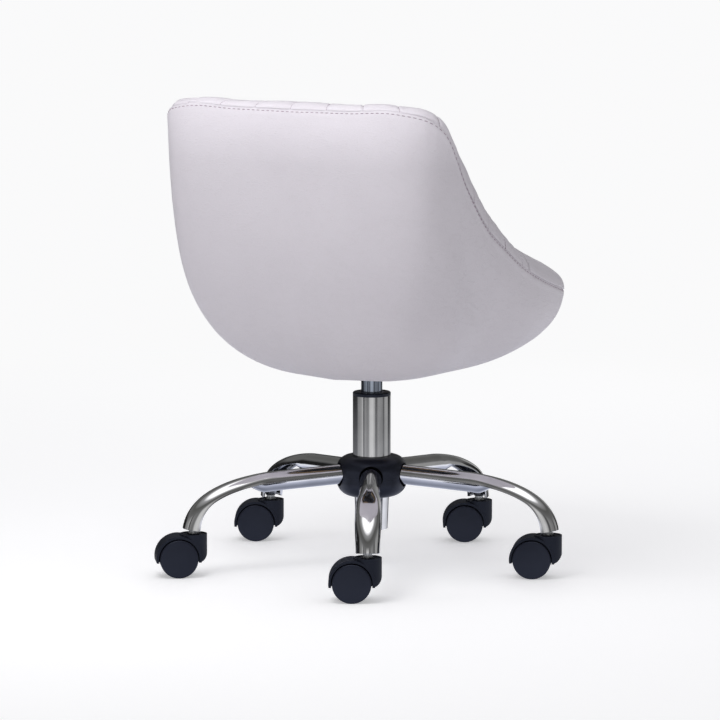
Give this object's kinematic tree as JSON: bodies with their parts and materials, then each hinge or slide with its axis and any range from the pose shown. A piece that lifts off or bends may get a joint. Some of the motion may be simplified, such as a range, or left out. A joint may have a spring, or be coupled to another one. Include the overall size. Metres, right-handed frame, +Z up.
{
  "type": "rolling stylist stool",
  "caption": "Low-backed upholstered tub seat that swivels and rises on a gas lift, over a pressed chrome star base with hooded swivel casters.",
  "frame": {"origin": "on the floor, on the gas lift's axis", "axes": "+Z up along the gas lift, -Y towards the front of the seat, +X towards the sitter's left"},
  "size_m": [0.5301, 0.5122, 0.6249],
  "materials": {
    "painted_steel": "satin",
    "chrome_plate": "mirror",
    "hub_plastic": "satin",
    "caster_plastic": "matte",
    "wheel_plastic": "matte",
    "zinc_steel": "zinc plated",
    "lift_steel": "satin",
    "rubber_part": "matte",
    "lever_steel": "satin",
    "grip_plastic": "matte",
    "plywood": "raw",
    "shell_plastic": "matte",
    "foam": "open cell",
    "outer_leather": "fine grain",
    "inner_leather": "fine grain"
  },
  "bodies": {
    "base": {"hub_ring": "painted_steel", "hub_cover_upper": "hub_plastic", "hub_cover_lower": "hub_plastic", "star_leg_1": "chrome_plate", "star_leg_2": "chrome_plate", "star_leg_3": "chrome_plate", "star_leg_4": "chrome_plate", "star_leg_5": "chrome_plate", "caster_sockets": "painted_steel", "caster_stems": "zinc_steel", "stem_grip_rings": "zinc_steel", "column_tube": "chrome_plate", "guide_bush": "hub_plastic", "thrust_lower_race": "zinc_steel", "thrust_balls": "zinc_steel"},
    "lift_rod": {"piston_rod": "lift_steel", "rod_retaining_clip": "zinc_steel", "bump_stop": "rubber_part", "piston": "lift_steel", "thrust_upper_race": "zinc_steel"},
    "seat": {"pressure_tube": "lift_steel", "rod_guide": "rubber_part", "valve_block": "lift_steel", "taper_socket": "painted_steel", "seat_plate": "painted_steel", "lever_pivot_pin": "zinc_steel", "seat_bolts": "zinc_steel", "bolt_washers": "zinc_steel", "tee_nuts": "zinc_steel", "seat_board": "plywood", "tub_shell": "shell_plastic", "outer_cover": "outer_leather", "seat_foam": "foam", "seat_cover": "inner_leather", "back_foam": "foam", "back_cover": "inner_leather"},
    "height_lever": {"lever_rod": "lever_steel", "lever_grip": "grip_plastic"},
    "lift_valve": {"valve_pin": "zinc_steel"},
    "caster_1": {"caster_hood_1": "caster_plastic", "caster_axle_1": "zinc_steel"},
    "wheel_1_near": {"caster_wheel_1_near": "wheel_plastic"},
    "wheel_1_far": {"caster_wheel_1_far": "wheel_plastic"},
    "caster_2": {"caster_hood_2": "caster_plastic", "caster_axle_2": "zinc_steel"},
    "wheel_2_near": {"caster_wheel_2_near": "wheel_plastic"},
    "wheel_2_far": {"caster_wheel_2_far": "wheel_plastic"},
    "caster_3": {"caster_hood_3": "caster_plastic", "caster_axle_3": "zinc_steel"},
    "wheel_3_near": {"caster_wheel_3_near": "wheel_plastic"},
    "wheel_3_far": {"caster_wheel_3_far": "wheel_plastic"},
    "caster_4": {"caster_hood_4": "caster_plastic", "caster_axle_4": "zinc_steel"},
    "wheel_4_near": {"caster_wheel_4_near": "wheel_plastic"},
    "wheel_4_far": {"caster_wheel_4_far": "wheel_plastic"},
    "caster_5": {"caster_hood_5": "caster_plastic", "caster_axle_5": "zinc_steel"},
    "wheel_5_near": {"caster_wheel_5_near": "wheel_plastic"},
    "wheel_5_far": {"caster_wheel_5_far": "wheel_plastic"}
  },
  "joints": [
    {"name": "seat_swivel", "type": "hinge", "parent": "base", "child": "lift_rod", "pos_m": [0, 0, 0.06], "axis": [0, 0, 1], "continuous": true},
    {"name": "height_lift", "type": "slide", "parent": "lift_rod", "child": "seat", "axis": [0, 0, 1], "range_m": [0, 0.12]},
    {"name": "lever_tilt", "type": "hinge", "parent": "seat", "child": "height_lever", "pos_m": [0.042, 0, 0.2878], "axis": [0, -1, 0], "range_deg": [0, 4]},
    {"name": "valve_press", "type": "slide", "parent": "seat", "child": "lift_valve", "axis": [0, 0, -1], "range_m": [0, 0.003]},
    {"name": "caster_1_swivel", "type": "hinge", "parent": "base", "child": "caster_1", "pos_m": [-0.12515, 0.20829, 0.045], "axis": [0, 0, 1], "continuous": true},
    {"name": "wheel_1_near_spin", "type": "hinge", "parent": "caster_1", "child": "wheel_1_near", "pos_m": [-0.10819, 0.21889, 0.025], "axis": [-0.5299, 0.848, 0], "continuous": true},
    {"name": "wheel_1_far_spin", "type": "hinge", "parent": "caster_1", "child": "wheel_1_far", "pos_m": [-0.10819, 0.21889, 0.025], "axis": [-0.5299, 0.848, 0], "continuous": true},
    {"name": "caster_2_swivel", "type": "hinge", "parent": "base", "child": "caster_2", "pos_m": [-0.23677, -0.05466, 0.045], "axis": [0, 0, 1], "continuous": true},
    {"name": "wheel_2_near_spin", "type": "hinge", "parent": "caster_2", "child": "wheel_2_near", "pos_m": [-0.21865, -0.04621, 0.025], "axis": [-0.4226, 0.9063, 0], "continuous": true},
    {"name": "wheel_2_far_spin", "type": "hinge", "parent": "caster_2", "child": "wheel_2_far", "pos_m": [-0.21865, -0.04621, 0.025], "axis": [-0.4226, 0.9063, 0], "continuous": true},
    {"name": "caster_3_swivel", "type": "hinge", "parent": "base", "child": "caster_3", "pos_m": [-0.02118, -0.24208, 0.045], "axis": [0, 0, 1], "continuous": true},
    {"name": "wheel_3_near_spin", "type": "hinge", "parent": "caster_3", "child": "wheel_3_near", "pos_m": [-0.00422, -0.23148, 0.025], "axis": [-0.5299, 0.848, 0], "continuous": true},
    {"name": "wheel_3_far_spin", "type": "hinge", "parent": "caster_3", "child": "wheel_3_far", "pos_m": [-0.00422, -0.23148, 0.025], "axis": [-0.5299, 0.848, 0], "continuous": true},
    {"name": "caster_4_swivel", "type": "hinge", "parent": "base", "child": "caster_4", "pos_m": [0.22368, -0.09495, 0.045], "axis": [0, 0, 1], "continuous": true},
    {"name": "wheel_4_near_spin", "type": "hinge", "parent": "caster_4", "child": "wheel_4_near", "pos_m": [0.24064, -0.08435, 0.025], "axis": [-0.5299, 0.848, 0], "continuous": true},
    {"name": "wheel_4_far_spin", "type": "hinge", "parent": "caster_4", "child": "wheel_4_far", "pos_m": [0.24064, -0.08435, 0.025], "axis": [-0.5299, 0.848, 0], "continuous": true},
    {"name": "caster_5_swivel", "type": "hinge", "parent": "base", "child": "caster_5", "pos_m": [0.15942, 0.18339, 0.045], "axis": [0, 0, 1], "continuous": true},
    {"name": "wheel_5_near_spin", "type": "hinge", "parent": "caster_5", "child": "wheel_5_near", "pos_m": [0.17474, 0.19625, 0.025], "axis": [-0.6428, 0.766, 0], "continuous": true},
    {"name": "wheel_5_far_spin", "type": "hinge", "parent": "caster_5", "child": "wheel_5_far", "pos_m": [0.17474, 0.19625, 0.025], "axis": [-0.6428, 0.766, 0], "continuous": true}
  ],
  "couplings": [
    {"joint": "valve_press", "follows": "lever_tilt", "m_per_rad": 0.042}
  ]
}
